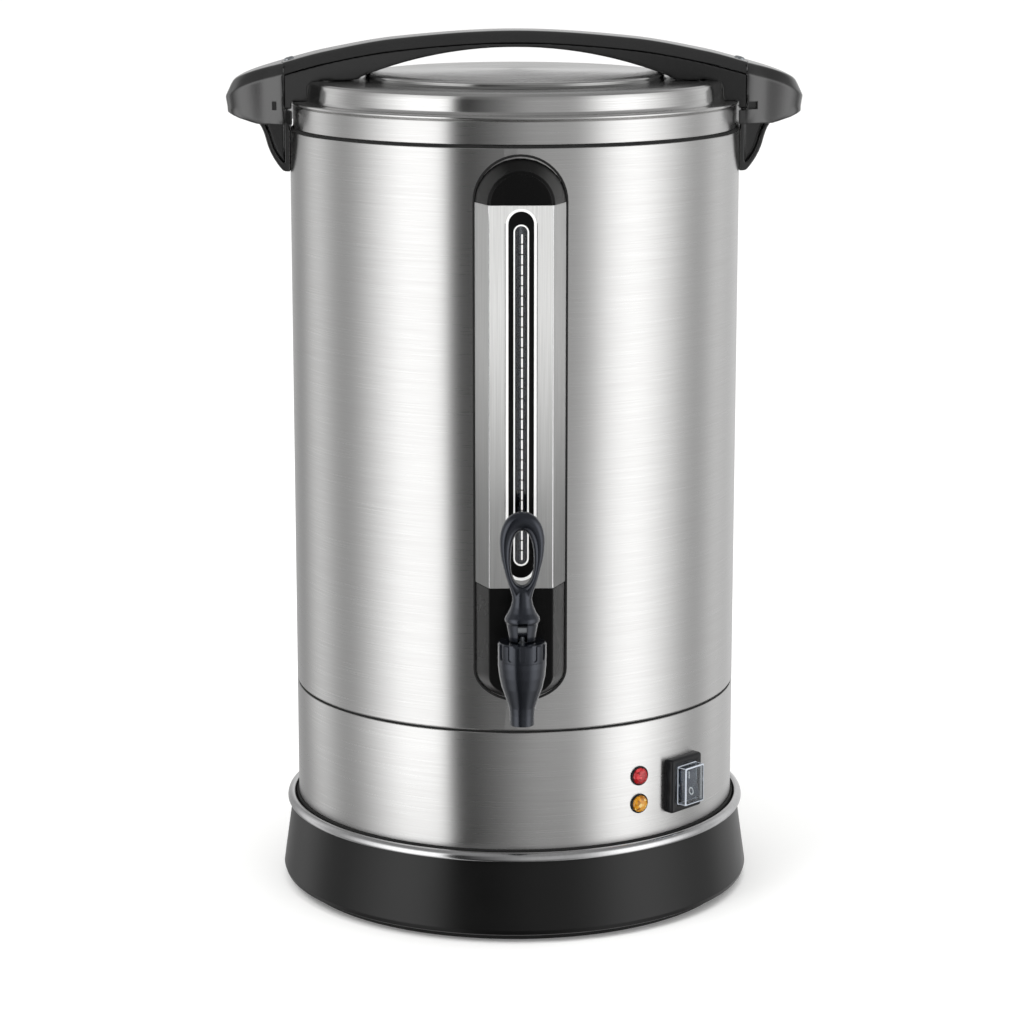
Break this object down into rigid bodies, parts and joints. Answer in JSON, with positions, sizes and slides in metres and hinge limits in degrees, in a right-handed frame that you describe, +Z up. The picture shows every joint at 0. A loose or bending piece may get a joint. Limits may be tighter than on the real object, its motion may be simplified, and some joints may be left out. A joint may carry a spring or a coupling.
{
  "type": "coffee urn",
  "caption": "Free-standing steel coffee urn with a twist-lock lid, arched grip, sight gauge, sprung lever tap, pilot lamps and a covered rocker switch.",
  "frame": {"origin": "on the tank's axis, in the plane of the foot ring that the urn stands on", "axes": "+Z up along the tank's axis, -Y towards the tap and gauge, +X to the right seen from the front"},
  "size_m": [0.326, 0.3142, 0.4929],
  "materials": {
    "brushed_shell": "stainless sheet brushed round the body",
    "plain_steel": "mill-finish stainless sheet",
    "polished_trim": "polished rolled steel",
    "satin_cover": "fine satin stainless sheet",
    "screw_steel": "bright zinc or stainless",
    "base_plastic": "satin black moulding",
    "handle_plastic": "satin black phenolic moulding",
    "gauge_plastic": "satin black moulding",
    "tap_plastic": "semi-gloss blue-black moulding",
    "switch_plastic": "fine-grained black nylon",
    "white_print": "white moulding",
    "gauge_glass": "clear tube",
    "clear_cover": "clear silicone",
    "red_lens": "faceted red lens",
    "amber_lens": "faceted amber lens",
    "foot_rubber": "black rubber",
    "silicone": "translucent silicone",
    "heater_alloy": "cast aluminium",
    "brass_parts": "turned brass",
    "lead_rubber": "glass-sleeved lead"
  },
  "bodies": {
    "urn": {"base_band": "brushed_shell", "base_plate": "plain_steel", "base_screws": "screw_steel", "base_skirt": "base_plastic", "foot_ring": "foot_rubber", "gauge_backing": "gauge_plastic", "gauge_bushings": "silicone", "gauge_cover": "satin_cover", "gauge_elbow": "gauge_plastic", "gauge_frame": "white_print", "gauge_scale": "gauge_plastic", "gauge_top_cap": "gauge_plastic", "handle_inserts": "brass_parts", "handle_screws": "screw_steel", "heating_lens": "red_lens", "inlet_pins": "brass_parts", "inlet_screws": "screw_steel", "internal_leads": "lead_rubber", "lamp_bezels": "switch_plastic", "lamp_bodies": "switch_plastic", "power_inlet": "switch_plastic", "rim_ring": "brushed_shell", "rocker_pin": "screw_steel", "seam_ring": "plain_steel", "side_handle_left": "handle_plastic", "side_handle_right": "handle_plastic", "sight_tube": "gauge_glass", "splash_cover": "clear_cover", "switch_housing": "switch_plastic", "switch_terminals": "brass_parts", "tank_floor": "plain_steel", "tank_shell": "brushed_shell", "tap_body": "tap_plastic", "tap_bonnet": "tap_plastic", "tap_escutcheon": "gauge_plastic", "tap_gaskets": "silicone", "tap_nut": "screw_steel", "terminal_block": "switch_plastic", "thermostats": "heater_alloy", "trim_ring": "polished_trim", "valve_spring": "screw_steel", "warm_lens": "amber_lens", "warming_element": "heater_alloy", "well_heater": "heater_alloy"},
    "lid_seal": {"lid_seal": "silicone"},
    "lid": {"lid_pan": "brushed_shell", "lid_liner": "plain_steel", "lid_screws": "screw_steel", "arch_base": "handle_plastic", "arch_top": "handle_plastic", "arch_screws": "screw_steel"},
    "valve": {"valve_stem": "screw_steel", "seat_cup": "silicone"},
    "lever": {"tap_lever": "tap_plastic", "lever_pin": "screw_steel"},
    "rocker": {"switch_rocker": "switch_plastic"},
    "percolator": {"perc_stem": "plain_steel", "pump_foot": "plain_steel"},
    "basket": {"coffee_basket": "plain_steel"},
    "spreader": {"basket_spreader": "plain_steel"}
  },
  "joints": [
    {"name": "lid_lift", "type": "slide", "parent": "urn", "child": "lid_seal", "axis": [0, 0, 1], "range_m": [0, 0.25]},
    {"name": "lid_turn", "type": "hinge", "parent": "lid_seal", "child": "lid", "pos_m": [0, 0, 0.45], "axis": [0, 0, 1], "range_deg": [0, 30]},
    {"name": "valve_lift", "type": "slide", "parent": "urn", "child": "valve", "axis": [0, 0, 1], "range_m": [0, 0.0048], "deforming": ["valve_spring"]},
    {"name": "lever_tilt", "type": "hinge", "parent": "valve", "child": "lever", "pos_m": [0, -0.165, 0.1865], "axis": [1, 0, 0], "range_deg": [0, 45], "stiffness_Nm_per_rad": 0.06, "springref_deg": -14.32},
    {"name": "rocker_tilt", "type": "hinge", "parent": "urn", "child": "rocker", "pos_m": [0.09423, -0.091, 0.0786], "axis": [0.6947, 0.7193, 0], "range_deg": [0, 20]},
    {"name": "percolator_lift", "type": "slide", "parent": "urn", "child": "percolator", "axis": [0, 0, 1], "range_m": [0, 0.018]},
    {"name": "basket_lift", "type": "slide", "parent": "percolator", "child": "basket", "axis": [0, 0, 1], "range_m": [0, 0.01]},
    {"name": "spreader_lift", "type": "slide", "parent": "basket", "child": "spreader", "axis": [0, 0, 1], "range_m": [0, 0.01]}
  ],
  "couplings": [
    {"joint": "valve_lift", "follows": "lever_tilt", "m_per_rad": 0.006}
  ]
}
